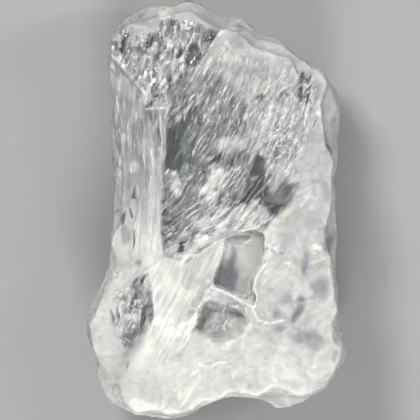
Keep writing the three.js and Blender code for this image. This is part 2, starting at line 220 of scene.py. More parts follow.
# The kinds of surface on the upper face: the millimetres that the edge fades over, and the outline.
SURFACES = {
    # the splintery break, and the part of it with the most hairs
    "sweep": (0.8, [(-1, 18.3), (-2.2, 16.7), (-4.8, 15.6), (-5.8, 13.6), (-6, 11), (-5.9, 6.5), (-6.3, 5),
                    (-6.5, -3), (-6, -5.5), (-4.3, -6), (-3, -4.7), (0.5, -3), (5.4, -2.4), (6.5, -1),
                    (9.3, 1.8), (9.4, 6), (11.5, 9.6), (12, 12.5), (11, 15.5), (6, 16.6), (2.5, 17.5)]),
    "hairy": (1.6, [(-3.6, 15.8), (-5.8, 13.6), (-6.3, 5), (-6.4, -3), (-3, -3.4), (3, -1.6), (5.2, 0.6),
                    (6.2, 3.6), (5, 6), (3.2, 7), (3.4, 10.4), (2.2, 12.8), (0.6, 15.2)]),
    # crumbled glassy mineral at the head
    "knob": (0.7, [(-12.9, 19), (-12.6, 17.2), (-11.6, 17), (-10, 14.9), (-8.9, 13.6), (-8.3, 11.6),
                   (-6, 11.5), (-5.1, 15.3), (-3.2, 16), (-1.9, 17), (-1, 18.3), (-0.2, 19.6),
                   (-0.4, 20.6), (-3, 21.6), (-6.4, 21.8), (-7.2, 20.2), (-9.8, 20.1), (-11.4, 20.9),
                   (-12.5, 20.6)]),
    # the standing cleavage face on the left, ribbed along its length
    "plank": (0.25, [(-14, 17.2), (-11.6, 17), (-10, 14.8), (-8.7, 13.2), (-8.3, 11.5), (-5.9, 11.5),
                     (-5.9, 6.5), (-6.3, 5), (-6.1, 3.4), (-6.5, 1), (-6.6, -3), (-6.2, -5.4), (-8, -6.6),
                     (-14, -6)]),
    # the smoky window and the broken pocket under it
    "window": (0.2, [(0.9, -2.9), (2, -2.5), (5.4, -2.4), (5.5, -4.3), (5.1, -6.4), (4.1, -8.2), (4, -9),
                     (4.4, -10), (4.2, -11.1), (2, -10.3), (-0.8, -8.9), (0.4, -5.5)]),
    "pocket": (0.8, [(-3, -9.2), (-0.8, -8.5), (2.9, -10.2), (3.6, -11.8), (1.8, -13), (1, -14.1),
                     (0.2, -15.3), (-0.9, -15.2), (-1, -14), (-4.9, -14.6), (-3.9, -12)]),
    # the splintered hollow low on the left
    "hollow": (2, [(-8.1, -7), (-7.5, -9.5), (-7.4, -12.8), (-8.6, -14.8), (-10.5, -16.6), (-11, -15),
                   (-11.8, -13.4), (-11.6, -11), (-10.9, -9.6), (-9.9, -8.6)]),
    # the milky splintered tongue that runs down the middle
    "tongue": (0.12, [*TONGUE_EDGE, (-5.8, -17.4), (-8.8, -18.6), (-9.4, -15.8), (-8.1, -13.8),
                      (-7.4, -12.4), (-7.5, -9.5), (-8, -7), (-6.2, -5.5), (-4.3, -6), (-2.8, -4.6)]),
    # the slab a step down on the right
    "slab": (0.4, [(12.1, 13.2), (12.3, 11), (12.1, 8), (13, 6), (14, 5.6), (15, 9), (14, 14)]),
}
# Surfaces that end in a break, which the patches beside them don't run over.
CRISP = ("plank", "window", "pocket", "tongue", "slab")

# How light each kind of the mineral looks, from 0, clear with the dark inside showing, to 1, white.
CLEAR, SMOKY, HAZY, CLOUDY, MILKY, PALE, WHITE = 0.26, 0.4, 0.54, 0.67, 0.8, 0.87, 0.93

# The kind of mineral that each surface is made of, before its patches, and that of the foot of the stone.
FOOT = mix(MILKY, WHITE, 0.3)
GROUND = {
    "sweep": mix(CLOUDY, MILKY, 0.6),
    "hairy": mix(HAZY, CLOUDY, 0.35),
    "knob": CLOUDY,
    "plank": CLOUDY,
    "window": mix(MILKY, WHITE, 0.1),
    "pocket": mix(CLOUDY, MILKY, 0.5),
    "hollow": mix(CLOUDY, MILKY, 0.5),
    "tongue": PALE,
    "slab": mix(CLOUDY, MILKY, 0.7),
}

# Patches with corners: the kind of mineral, the millimetres that the edge fades over, and the outline.
PANES = [
    # head of the stone
    (CLEAR, 0.4, [(-10.5, 20.4), (-10.1, 20), (-10.5, 19), (-10.9, 17.6), (-11.5, 17.1), (-11.2, 18.4)]),
    (SMOKY, 0.7, [(-1.9, 19.2), (-1.7, 20.3), (-0.9, 20.6), (-0.1, 20.4), (-0.3, 19.5), (-0.8, 19.1)]),
    (SMOKY, 0.2, [(-1.8, 18.9), (-1, 18.8), (-1.1, 18)]),
    (SMOKY, 0.5, [(-3.3, 18.6), (-2.6, 19.2), (-2.1, 18.4), (-2, 17.1), (-3, 16.2), (-3.7, 16.8)]),
    (CLEAR, 0.25, [(-4.8, 17.3), (-4.4, 18.1), (-3.7, 18.3), (-4.2, 17)]),
    (WHITE, 0.3, [(-6.1, 19.5), (-5.6, 19.9), (-5, 19.3), (-5.1, 18.6), (-6, 18.7)]),
    # splintery break
    (CLEAR, 0.6, [(-5.9, 9.2), (-5, 9.4), (-4.2, 10.4), (-3.4, 10), (-4.2, 7.6), (-3.9, 5.3), (-4.3, 4.1),
                  (-5.7, 4.6), (-6.2, 5.6)]),
    (CLEAR, 0.6, [(4.5, 6.2), (5.3, 5.8), (5.4, 4.2), (5.8, 2.4), (5, 1.4), (3.8, 1.2), (3.1, 1.9),
                  (3.4, 3.4)]),
    (CLEAR, 1, [(5, 0.8), (5.2, 2.1), (6.3, 2), (7.8, 3), (8.6, 2.4), (8.7, 1.6), (8, 0.5), (7.2, -0.3),
                  (6.7, -0.9), (6.2, -0.7), (5.6, 0.3)]),
    (HAZY, 0.2, [(1.1, 3.4), (1.6, 4.4), (3.1, 5), (3, 3.7), (2, 3.1)]),
    (MILKY, 0.8, [(-0.6, 6.6), (-0.2, 7.9), (1.6, 8.5), (3, 8.1), (2.8, 6.9), (1.2, 6.3)]),
    (PALE, 0.7, [(-4.7, 4), (-5.6, 3), (-5.4, 2.1), (-4.7, 1.3), (-4.1, 1.7), (-4.2, 2.9)]),
    (PALE, 1, [(-0.9, 3.8), (0.1, 4.8), (1.1, 3.9), (1, 2.9), (0, 1.9), (-0.6, 0.9), (-1.5, 1.3),
               (-2.1, 2.2), (-1.1, 3)]),
    (WHITE, 0.2, [(-2.8, -3.7), (-2.4, -3), (-1.2, -2.9), (-0.9, -3.2), (-1.9, -4)]),
    # plank, tongue, window and foot
    (SMOKY, 0.12, [(-9.4, 2.7), (-9.9, 1.3), (-9.4, 1.2)]),
    (CLEAR, 0.3, [(-4.3, -4.9), (-3.9, -4.9), (-3.8, -4.3), (-4, -3.6), (-4.4, -3.8)]),
    (MILKY, 0.5, [(-4.2, -7.6), (-2.6, -5.6), (-0.4, -4), (-0.2, -5.6), (-1, -7.8), (-2.4, -9.3),
                  (-4.1, -9.2)]),
    (HAZY, 1, [(-0.8, -8.9), (0.1, -7), (1.5, -5.2), (1.7, -4.2), (2.1, -4.8), (1.9, -6.5), (2.3, -7.6),
                  (1.8, -9.6), (0.6, -9.4)]),
    (WHITE, 0.5, [(-10.7, -24.4), (-10.5, -22.6), (-9.8, -21.6), (-6.8, -22.6), (-3.8, -24.4)]),
]

# Patches without corners, kind by kind: x, y, half length, half width, and turn in degrees.
PATCHES = {
    MILKY: [
        (-3, 23.2, 1.7, 0.7, -10), (5.7, 18.3, 2.4, 0.8, -8),
        (11.8, 15.8, 1, 0.8, -50), (-8.5, 13, 0.4, 0.8, 0), (-10.9, 8.2, 0.5, 0.6, 0),
        (-9.6, 4.9, 0.5, 0.6, 0), (-13.2, -14.5, 0.7, 0.3, 60), (-3.7, -2.8, 0.7, 0.4, 20),
        (1.5, -1.6, 2.6, 0.6, 12), (11, -11.8, 1, 1, 0), (10.5, -9.4, 0.7, 0.4, 10),
        (7, -20.3, 1.1, 0.5, 0), (12.3, -20.8, 0.7, 0.3, 25),
        (-0.2, -1.2, 2.8, 0.9, 24), (3.4, -0.4, 2, 0.9, 12),
    ],
    CLOUDY: [
        (0.2, -13.8, 1.2, 0.5, 92), (-1.4, -12, 1.7, 0.7, 65),
        (-9.3, 21.3, 2.1, 0.9, 12), (12, -9, 1.5, 1.1, 80),
        (-6, 17.1, 1, 0.8, 60), (2.2, 19.5, 1, 0.7, 90), (11.5, 13.6, 1, 0.4, 85),
        (4.5, 11.3, 1.8, 1.2, 70), (1.7, -3.3, 0.7, 0.5, 0),
        (2.2, -12.2, 0.6, 0.6, 0), (-10.6, -3, 1, 0.5, 95), (-9.1, -11.2, 0.8, 0.7, 0),
        (6.8, 7.6, 2.3, 1.5, 55), (-7.2, 12.4, 1.2, 0.8, 0), (-3.3, -5.9, 0.5, 0.2, 60),
        (-11.9, -20.4, 0.6, 0.4, 0), (-9.2, -6.2, 0.4, 0.3, 0),
        (10.1, -6.1, 1.5, 0.4, 85), (12.2, -2.3, 0.5, 0.35, 0), (8.1, -10.3, 0.8, 0.6, 0),
        (6.8, -11.8, 0.6, 0.4, 60), (9.2, -14.5, 0.9, 0.8, 0), (11, -15.1, 1.3, 0.9, -50),
        (13.4, -16.7, 0.7, 0.4, 80), (6.8, -13.7, 0.7, 0.5, 0),
    ],
    HAZY: [
        (-12.3, 19.3, 0.6, 0.9, 0), (-11.3, 20.6, 0.6, 0.2, -5), (-10.1, 18.4, 1.1, 0.4, 72),
        (-9.2, 18.7, 0.6, 0.5, 0), (-5.7, 20.9, 0.9, 0.8, 0), (-7.2, 13.7, 0.6, 0.9, 0),
        (-4, 13.8, 1.2, 1, 60), (-2.2, 14, 1.1, 0.8, 0), (2.6, 21.1, 0.5, 0.3, -35),
        (-11.4, 7.2, 1.1, 0.25, 105), (-8.4, 4.7, 0.9, 0.13, 95), (-7.9, 3.9, 0.9, 0.09, 98),
        (-11, 4.3, 0.8, 0.08, 97), (-8.65, 9.5, 1.2, 0.07, 98), (-8.1, 9.4, 1.1, 0.07, 98),
        (-3.3, 7.5, 2.2, 0.8, 70), (-4.6, 0.6, 1.3, 0.5, 0), (-5.4, -3, 1.4, 0.8, 80),
        # The thin band at (-1.6, -4.1) is a painted shadow under the ledge along the sweep's lower edge.
        (-1, -2.6, 0.9, 0.3, 25), (-1.6, -4.1, 1.5, 0.2, 33),
        (4.9, 3.2, 0.8, 0.4, 60), (8.7, 2.4, 0.8, 0.6, 45), (12.7, 7, 0.8, 0.2, -60),
        (-9.7, -10.2, 1.4, 0.25, 74), (-9.3, -14, 1.2, 0.6, 60),
        (-10.7, -10.2, 0.6, 0.4, 0), (-7.7, -11.3, 1.6, 0.3, 93), (-12.1, -12.6, 1.1, 0.15, 105),
        (-11.55, -7.5, 0.45, 0.09, 55), (-10.3, -15, 0.7, 0.5, 60),
        (4.1, -9.3, 1.3, 0.25, 95), (5.2, -4, 1.3, 0.15, 88),
        (12.7, -3.8, 1, 0.6, 60), (9.5, -10.4, 0.4, 0.3, 0), (9, -11.9, 1.2, 0.55, 60),
    ],
    SMOKY: [
        (-7.8, 19.3, 0.5, 0.3, 60), (-7.1, 17.3, 0.6, 0.3, 60), (-4.4, 16.4, 0.5, 0.3, 50),
        (-4, 15.2, 0.8, 0.25, 50), (-5.5, 14.1, 0.9, 0.2, 80), (-0.3, 13.9, 1.1, 0.2, 60),
        (9.5, 15.1, 0.6, 0.25, 60), (10.3, 14.8, 0.4, 0.3, 0), (9.5, 13.4, 0.8, 0.3, 85),
        (10.4, 13.2, 0.9, 0.2, 88), (4.9, 12.9, 0.6, 0.3, 20), (-6.7, 8.6, 1.2, 0.1, 92),
        (-7.7, 10.8, 0.6, 0.2, 100), (-7.8, 11.9, 0.5, 0.2, 0), (-5.3, 10.6, 0.9, 0.3, 50),
        (-2.7, 11.4, 1.1, 0.35, 55), (-1.6, 11.9, 0.8, 0.2, 65), (-2.6, 10.4, 0.7, 0.2, 45),
        (2.3, 9.6, 0.8, 0.4, 35), (-0.4, 5.6, 0.7, 0.35, 35), (1.5, 5.5, 0.5, 0.3, 50),
        (-3.4, 3, 1.1, 0.13, 80), (-2.4, 3.5, 1.1, 0.12, 68), (-1.8, 4.3, 1.3, 0.12, 72),
        (5.9, 3.3, 0.8, 0.12, 65), (3.6, 1.2, 0.8, 0.5, 20), (1.8, 1.5, 0.4, 0.2, 40),
        (-1.9, 1.6, 0.4, 0.18, -55), (-6.3, 1, 0.7, 0.13, 80), (-6.1, -0.5, 0.45, 0.28, 70),
        (-5.1, -1.4, 0.9, 0.5, 20), (-4.1, -4.3, 0.8, 0.22, 76), (-2.6, -2.7, 0.6, 0.15, 50),
        (-10.8, -1, 0.8, 0.2, 82), (-9.9, -0.4, 0.6, 0.12, 110), (-9.7, -3.5, 1.1, 0.08, 92),
        (-9.4, -8.2, 0.8, 0.12, 60), (-8.7, -8, 0.7, 0.22, 60),
        (-8.5, -12, 1.1, 0.25, 70), (-11.4, -12.4, 1.1, 0.13, 97),
        (-10.55, -18.1, 0.4, 0.1, 92),
    ],
    PALE: [(-12.9, -20.6, 3.2, 1.4, -60)],
    WHITE: [
        (0, 3.9, 0.9, 0.6, 75),
        # The spots at (-6.8, 20.8), (-6.1, 22.4) and (-10.2, -12.4) are painted glints of facets that catch
        # the light.
        (-6.8, 20.8, 0.4, 0.15, 85), (-6.1, 22.4, 0.8, 0.5, 45), (-10.6, 16.6, 0.5, 0.13, 95),
        (-8.3, 15.5, 0.35, 0.1, 55), (-11.5, 12.2, 1.1, 0.12, 105), (12.2, 9.7, 0.4, 0.08, 30),
        (11.4, 10.9, 0.3, 0.2, 0), (-10.2, -12.4, 0.5, 0.4, 0),
        (-12.7, -19.9, 0.6, 0.12, 25), (-4.4, -21.5, 0.3, 0.5, 0),
        (6.5, -19.4, 0.25, 0.35, 0), (3.3, -13.6, 0.4, 0.5, 0), (11.5, -4.5, 0.5, 0.4, 0),
    ],
}

# Spots with enough small facets to glitter: x, y, half length, half width and turn.
GLITTER = [
    (7, 7.6, 2.6, 1.8, 55), (4.6, 6.6, 0.7, 0.5, 0),
    (9.9, 13.7, 1.5, 0.8, 85), (-6.1, 22.4, 0.9, 0.7, 45), (0.9, 18.2, 1.3, 0.5, 65),
    (-5.4, -3.6, 1.4, 0.9, 80), (-9.3, -11.4, 1.4, 0.9, 80), (-11.2, -9.8, 0.9, 0.5, 40),
]

# Rims worn round, where the flanks are also painted pale as painted light: x, y, half length, half width and
# turn.
WORN_AND_PAINTED_LIGHT = [
    (-1, 14.2, 3.4, 0.9, 3), (3.5, 13.4, 3, 0.9, -20), (-1.4, -4, 3.2, 0.7, 28), (-6.8, -6.3, 2.6, 1.2, 25),
    (-10.6, -6.6, 1.8, 0.8, 0), (-10, -12, 5.4, 2.8, 74), (-6.2, -12.6, 2.8, 2.2, -20),
    (0.9, -12.8, 2.6, 2, -12), (2.4, -13.4, 1.6, 0.8, 20), (-1.2, -14.8, 2.4, 0.9, 0),
    (-12.2, -17.8, 3.2, 1.4, -76), (-12, -21.2, 2.8, 1.4, -60), (-3.6, -19.8, 2.2, 0.8, 60),
]

# Yellow iron stain: x, y, half length, half width and turn.
STAIN = [
    (7.5, -0.9, 1.7, 0.6, 45), (5.9, -1.9, 0.7, 0.3, 20), (6.4, -5.6, 0.5, 0.3, 0),
    (8.3, -5.6, 0.8, 0.3, -10), (6.9, -4.9, 0.5, 0.15, -15), (7.5, -6.2, 0.8, 0.25, -15),
    (11.5, -6.8, 0.9, 0.3, 40), (2.6, -19.4, 0.5, 0.6, 0),
]

# Pale lines: some are cracks that have healed white, and some are painted highlights along thin edges and
# rims. How light they and the thin edges look, and half their width in millimetres.
PALE_LINE_LIGHT = 0.97
PALE_LINE_WIDTH = 0.08
PALE_LINES = [
    [(-12.5, 16.4), (-12.2, 12.5), (-12.4, 9.8), (-11.8, 7.9), (-11.2, 4.9)],
    [(-8.3, 11.45), (-5.8, 11.55)],
    [(-4, 3.8), (-3.6, 4.7), (-3, 6), (-2.3, 7.5), (-1.9, 8.1), (-0.9, 9)],
    [(-4.3, 17), (-3.6, 17.8), (-3.4, 18.6), (-2.7, 20.1)],
    [(-4.5, 17.1), (-4, 17.6)],
    [(-2.1, 19.4), (-1.9, 18.1)],
    [(-0.9, 18.3), (-0.5, 19.1)],
    [(-5.5, 10.8), (-4.9, 11.4), (-4.1, 11.9)],
    [(5.2, 1.5), (5.4, 3.2), (5.9, 4.9)],
    [(1, 4.2), (2.2, 4.7), (3.1, 5.1)],
    [(2, 3.1), (3, 3.6)],
    [(4.1, 0.9), (4.5, 0.6), (4.8, 0.2)],
    [(10, 14.2), (10.4, 14.2), (10.8, 14.7)],
    [(-0.9, -11), (-0.8, -11.4), (-0.5, -11.5), (-0.2, -11)],
    [(0.3, -10.7), (-0.2, -12.1)],
    [(0.3, -11.5), (0.5, -11.7), (1, -11.6), (1.6, -11.2), (2.4, -11.2)],
    [(-0.8, -13.8), (-0.5, -14.4)],
    [(-1, -14.8), (-0.7, -15.4)],
    [(0.8, -13.7), (1.1, -12.7)],
    [(1, -12.9), (1.6, -13.5)],
    [(2.3, -11.6), (2.1, -11.8), (2, -12.3), (2.4, -12.7)],
    [(10.9, -6.1), (13.3, -5.4)],
]

# Thin edges that stand up, each with a painted highlight along it: how high, how far they reach to each
# side, and their line.
LUMP_RIM = [(5.7, -6.2), (5, -6.9), (4.3, -8), (4.1, -8.9), (4.5, -10.2), (4.1, -11.5), (4.5, -12.6),
            (6, -13.1), (6.8, -12.8), (7.6, -12.7)]
BLADE_EDGE = [(-0.8, -9), (0.4, -9.3), (1.5, -9.9), (2.8, -10.7), (4.1, -11.2)]
ARC_EDGE = [(-2, -17.6), (-1.6, -17.9), (-0.9, -18.1), (-0.1, -17.6), (1.6, -17.4)]
RAISED_EDGES = [
    (0.12, 0.26, LUMP_RIM),
    (0.06, 0.3, BLADE_EDGE),
    (0.06, 0.2, TONGUE_EDGE),
    (0.08, 0.25, ARC_EDGE),
]

# Open cracks with shadow in them, with half the width of each.
DARK_LINES = [
    (0.04, [(5.5, -4.5), (6.8, -4.9), (8.1, -5.1)]),
    (0.07, [(1, -2.9), (1.8, -2.6), (5.3, -2.45)]),
    (0.05, [(2.1, -3.9), (3.9, -4.3)]),
]


# ---------- the skin over the solid ----------


def read(mesh, what):
    """The points' places in metres, for "co", or the ways that they face, for "normal"."""
    values = np.empty(len(mesh.vertices) * 3)
    mesh.vertices.foreach_get(what, values)
    return values.reshape(-1, 3)


def write_places(mesh, places):
    mesh.vertices.foreach_set("co", (places * MM).ravel())
    mesh.update()


def write_number(mesh, name, values):
    values = np.clip(values, 0, 1).astype(np.float32)
    mesh.attributes.new(name, "FLOAT", "POINT").data.foreach_set("value", values)


def write_vectors(mesh, name, values):
    vectors = mesh.attributes.new(name, "FLOAT_VECTOR", "POINT")
    vectors.data.foreach_set("vector", values.astype(np.float32).ravel())


def shares_of(x, y):
    """How far each point belongs to each kind of surface, from 0 to 1."""
    return {name: field(x, y, outline, soft) for name, (soft, outline) in SURFACES.items()}


def rough_share(on):
    return np.maximum.reduce([on[name] for name in ("sweep", "knob", "plank", "window", "pocket", "hollow")])


def skin_over(solid):
    """A closed mesh over a solid, with its points closest together where the upper face is rough."""
    start = bpy.data.objects.new("start", solid.data.copy())
    bpy.context.scene.collection.objects.link(start)
    remesh = start.modifiers.new("remesh", "REMESH")
    remesh.mode = "VOXEL"
    remesh.voxel_size = SKIN_SPACING * MM
    mesh = bpy.data.meshes.new_from_object(start.evaluated_get(bpy.context.evaluated_depsgraph_get()))
    bpy.data.objects.remove(start)
    fine = bmesh.new()
    fine.from_mesh(mesh)
    # The whole upper face is made finer, and then its rough parts again.
    for least_rough in (-1.0, 0.5):
        fine.normal_update()
        middles = np.array([face.calc_center_median()[:2] for face in fine.faces]) / MM
        chosen = rough_share(shares_of(*middles.T)) > least_rough
        edges = {edge for face, is_chosen in zip(fine.faces, chosen) if is_chosen and face.normal.z > UPWARD
                 for edge in face.edges}
        bmesh.ops.subdivide_edges(fine, edges=list(edges), cuts=1, use_grid_fill=True)
    bmesh.ops.triangulate(fine, faces=[face for face in fine.faces if len(face.verts) > 4])
    fine.to_mesh(mesh)
    fine.free()
    mesh.name = "petalite_skin"
    return mesh


def drawn_onto(places, solid):
    """Each place moved to the nearest point of the solid, so that the skin has its sharp edges and faces."""
    corners, faces = solid.data.vertices, solid.data.polygons
    tree = BVHTree.FromPolygons([v.co[:] for v in corners], [p.vertices[:] for p in faces])
    return np.array([tree.find_nearest(p)[0] for p in (places * MM).tolist()]) / MM


def calmed(mesh, places, share, rounds):
    """The skin smoothed where share is 1 and left as it is where share is 0."""
    ends = np.empty(len(mesh.edges) * 2, np.int64)
    mesh.edges.foreach_get("vertices", ends)
    a, b = ends.reshape(-1, 2).T
    size = len(places)
    count = np.bincount(a, minlength=size) + np.bincount(b, minlength=size)
    for _ in range(rounds):
        total = [np.bincount(a, at[b], size) + np.bincount(b, at[a], size) for at in places.T]
        places = mix(places, np.stack(total, 1) / count[:, None], share[:, None])
    return places


def blunted(mesh, drawn, on):
    """The skin with its smooth faces evened out and its worn rims rounded."""
    write_places(mesh, drawn)
    level = step(read(mesh, "normal")[:, 2], 0.75, 0.92)
    base = calmed(mesh, drawn, 0.15 + 0.8 * (1 - rough_share(on)) * level, BLUNT_ROUNDS)
    base = calmed(mesh, base, 0.9 * spots(drawn[:, 0], drawn[:, 1], WORN_AND_PAINTED_LIGHT), WORN_ROUNDS)
    write_places(mesh, base)
    return base


# ---------- the grain, and what is known of each point ----------


def grain_turn(y):
    """The angle from +X at which the splintery break's grain climbs, in radians."""
    return np.radians(np.interp(y, SWEEP_AT, SWEEP_TURN))


def streamlines(x, y):
    """Places measured across and along the splintery break's curved grain."""
    spacing = 0.1
    heights = np.arange(-260, 261) * spacing
    turn = grain_turn(heights)
    reach = np.cumsum(spacing / np.tan(turn))
    length = np.cumsum(spacing / np.sin(turn))
    # A step along X crosses the grain by the sine of its climb, which is about 0.8.
    return 0.8 * (x - np.interp(y, heights, reach)), np.interp(y, heights, length)


def grain_over(x, y, on):
    """Places measured across and along the grain of whatever surface each point lies on."""
    across, along = streamlines(x, y)
    across += 0.45 * clouds(x / 3, y / 3, 5, 2)
    for name, turn in GRAIN_TURNS.items():
        own_along, own_across = turned(x, y, turn)
        across = np.where(on[name] > 0.5, own_across + 0.15 * noise(y / 3, x, 3), across)
        along = np.where(on[name] > 0.5, own_along, along)
    return across, along


def survey(x, y, z, facing, on):
    """All that the relief and the tones need to know of each point."""
    across, along = grain_over(x, y, on)
    return SimpleNamespace(
        x=x, y=y, z=z, on=on, across=across, along=along,
        around=FLANK_RADIUS * np.arctan2(y / STRETCH, x),  # millimetres round the stone
        facing=facing,
        upward=step(facing[:, 2], 0.2, 0.5),
        flank=1 - step(np.abs(facing[:, 2]), 0.5, 0.8),
        underneath=step(-facing[:, 2], 0.5, 0.8),
        splintery=np.maximum(on["sweep"], on["knob"]) * (1 - on["plank"]),
        crumbled=on["knob"] * (1 - on["plank"]),
        glitter=spots(x, y, GLITTER),
        worn_and_painted_light=spots(x, y, WORN_AND_PAINTED_LIGHT),
    )


# ---------- relief ----------


def knob_facets(x, y, size, seed):
    """Facets drawn out along the crumbled head and more so along the hollow, with uneven edges."""
    along, across = turned(x, y, KNOB_TURN)
    along = (along + 0.3 * clouds(x / 0.9, y / 0.9, seed + 1)) * np.where(y > 0, 0.5, 0.3)
    return crumbs(across + 0.3 * clouds(x / 0.9, y / 0.9, seed + 2), along, size, seed)


def splinters(at, glass):
    """Splinters of three sizes in clumps, with hardly any on the clear panes."""
    clumps = step(clouds(at.x / 1.6, at.y / 1.6, 10), -0.5, 0.5)
    height = (
        0.12 * blades(at.across, at.along, 1.3, 7.0, 11)
        + 0.07 * blades(at.across + 0.4, at.along, 0.6, 4.5, 13)
        + 0.05 * blades(at.across, at.along, 0.36, 3.0, 17)
    )
    return (0.4 + 0.6 * clumps) * height * (1 - 0.9 * glass)


def ribs(at):
    """Ribs and fine lines along the plank, strongest on its right and gone at its foot."""
    height = (
        0.05 * blades(at.across, at.along, 0.8, 9.0, 23)
        + 0.03 * blades(at.across, at.along, 0.36, 5.0, 27)
        + 0.012 * noise(at.across / 0.22, at.along / 3.5, 29)
    )
    return height * (0.4 + 0.6 * step(at.x, -9.5, -7.5)) * step(at.y, -6.5, -3)


def lumps(at):
    """Shallow swells and small facets of the milky parts."""
    height = 0.1 * clouds(at.x / 3.2, at.y / 3.2, 41) + 0.05 * clouds(at.x / 0.9, at.y / 0.9, 43)
    for rise, size, seed in ((0.07, 1.7, 44), (0.06, 0.8, 45), (0.03, 0.4, 46)):
        height += rise * crumbs(at.x, at.y, size, seed)[0]
    return height


def tongue_streaks(at):
    """Low streaks along the tongue, which stands up towards its right edge."""
    along, across = turned(at.x, at.y, GRAIN_TURNS["tongue"])
    height = 0.04 * blades(across + 0.2 * clouds(at.x / 2, at.y / 2, 52), along, 0.6, 6, 53)
    height += 0.02 * noise(across / 0.25, along / 3, 59)
    return height + 0.15 * step(at.y, -17.5, -14.5) * step(at.x - 0.37 * at.y, -2.5, 1.5)


def edges_and_cracks(at):
    """The thin edges that stand up, and the open cracks."""
    height = np.zeros_like(at.x)
    for rise, reach, edge in RAISED_EDGES:
        height += rise * ease(1 - line(at.x, at.y, edge) / reach)
    for width, drawn_line in DARK_LINES:
        height -= 0.05 * ease(1 - line(at.x, at.y, drawn_line) / (2 * width))
    return height


def upper_relief(at, light, glass):
    """Height of the broken surface over the upper face."""
    x, y, on = at.x, at.y, at.on
    splinter = splinters(at, glass)
    facets = 0.16 * knob_facets(x, y, 0.9, 31)[0] + 0.12 * knob_facets(x, y, 0.5, 37)[0]
    sugar = 0.2 * crumbs(x, y, 0.55, 35)[0] + 0.12 * crumbs(x, y, 0.32, 38)[0]
    other = [on[name] for name in ("plank", "window", "pocket", "hollow")]
    calm = 1 - np.maximum.reduce([at.splintery, *other, 0.8 * on["tongue"]])
    hairy = mix(0.35, 1, on["hairy"]) * (1 - 0.8 * on["knob"]) * (1 - 0.8 * step(light, 0.72, 0.82))
    fretted = np.maximum(on["window"] * (1 - step(x, 1.6, 2.6)), 0.6 * on["pocket"])
    height = lumps(at) * calm
    height += splinter * (at.splintery * hairy + on["hollow"])
    height += ribs(at) * on["plank"]
    height += facets * np.maximum(at.crumbled, 0.25 * on["hollow"])
    height += sugar * at.glitter * (1 - 0.7 * on["plank"])
    height += 0.08 * crumbs(x, y, 0.3, 47)[0] * fretted
    height += 0.1 * threads(x / 1.3, y / 1.3, 55) * on["pocket"] * (1 - on["tongue"])
    height += tongue_streaks(at) * on["tongue"]
    return height + edges_and_cracks(at)


def flank_relief(at):
    """How far the flanks stand out: shell-like chips, and a few ledges of the cleavage that come and go."""
    around, z = at.around, at.z
    layers = z / 1.7 + 0.05 * at.x + 0.9 * noise(around / 2.8, z / 5, 61)
    ledges = (layers - np.floor(layers)) * step(clouds(around / 5, z / 3, 67), 0.0, 0.5)
    chips = 0.6 * crumbs(around, z, 2.1, 73)[0] + 0.35 * crumbs(around, z, 1.1, 79)[0]
    chips += 0.15 * crumbs(around, z, 0.6, 83)[0]
    return (0.2 * ledges + 0.4 * chips) * mix(1, 0.65, step(z, 5, 8)) * (1 - at.worn_and_painted_light)


def pits(at):
    """How deep the face that the stone rests on is pitted."""
    depth = 0.1 + 0.08 * clouds(at.x / 1.5, at.y / 1.5, 83) + 0.07 * crumbs(at.x, at.y, 1.3, 89)[0]
    return depth.clip(0)


def raised(base, at, light, glass):
    """The skin's points with all their relief, kept inside the solid's box."""
    places = base.copy()
    places[:, 2] += upper_relief(at, light, glass) * at.upward + pits(at) * at.underneath
    outward = at.facing[:, :2] / np.maximum(np.hypot(at.facing[:, 0], at.facing[:, 1]), 0.3)[:, None]
    places[:, :2] += outward * (flank_relief(at) * at.flank)[:, None]
    lowest, highest = (np.array(corner) / MM for corner in cad_box)
    return np.clip(places, lowest, highest)


# ---------- lightness, silk, glitter and stain ----------


def ground_light(at):
    """The kinds of mineral that the surfaces are made of."""
    light = mix(mix(CLOUDY, MILKY, 0.5), MILKY, step(-at.y, 0, 6))
    light = mix(light, FOOT, step(-at.y - 0.5 * at.x, 8, 18))
    for name, kind in GROUND.items():
        light = mix(light, kind, at.on[name])
    return mix(light, FOOT, at.on["plank"] * step(-at.y, -6, 5))


def frayed(at):
    """Places moved to and fro, mostly along the grain, so that what is drawn by them has frayed edges."""
    grained = np.maximum(at.splintery, at.on["plank"])
    sway_x, sway_y = (mix(0.5, 0.3, grained) * clouds(at.x / 1.1, at.y / 1.1, seed) for seed in (71, 72))
    fringe = 0.5 * noise(at.across / 0.17, at.along / 2, 77)
    fringe *= np.maximum(at.splintery, 0.5 * at.on["hollow"])
    turn = grain_turn(at.y)
    return at.x + sway_x + fringe * np.cos(turn), at.y + sway_y + fringe * np.sin(turn)


def homes(x, y):
    """Which of the surfaces that end in a break each point lies on, as a sum of powers of two."""
    return sum(2**n * (field(x, y, SURFACES[name][1], 0.1) > 0.5) for n, name in enumerate(CRISP))


def add_patches(at, light, frayed_x, frayed_y):
    """The lightness with the patches on it, and how far each point lies in a clear pane."""
    home = homes(at.x, at.y)

    def own_side(middle):
        """The points that no break parts from the middle of a patch."""
        return home == homes(*np.array(middle, float)[:, None])[0]

    for kind, ovals in PATCHES.items():
        inside = [spot(frayed_x, frayed_y, oval) * own_side(oval[:2]) for oval in ovals]
        light = mix(light, kind, np.maximum.reduce(inside))
    x, y = mix(at.x, frayed_x, 0.4), mix(at.y, frayed_y, 0.4)
    glass = np.zeros_like(at.x)
    for kind, soft, outline in PANES:
        inside = field(x, y, outline, soft) * own_side(np.mean(outline, axis=0))
        light = mix(light, kind, inside)
        if kind == CLEAR:
            glass = np.maximum(glass, inside)
    return light, glass


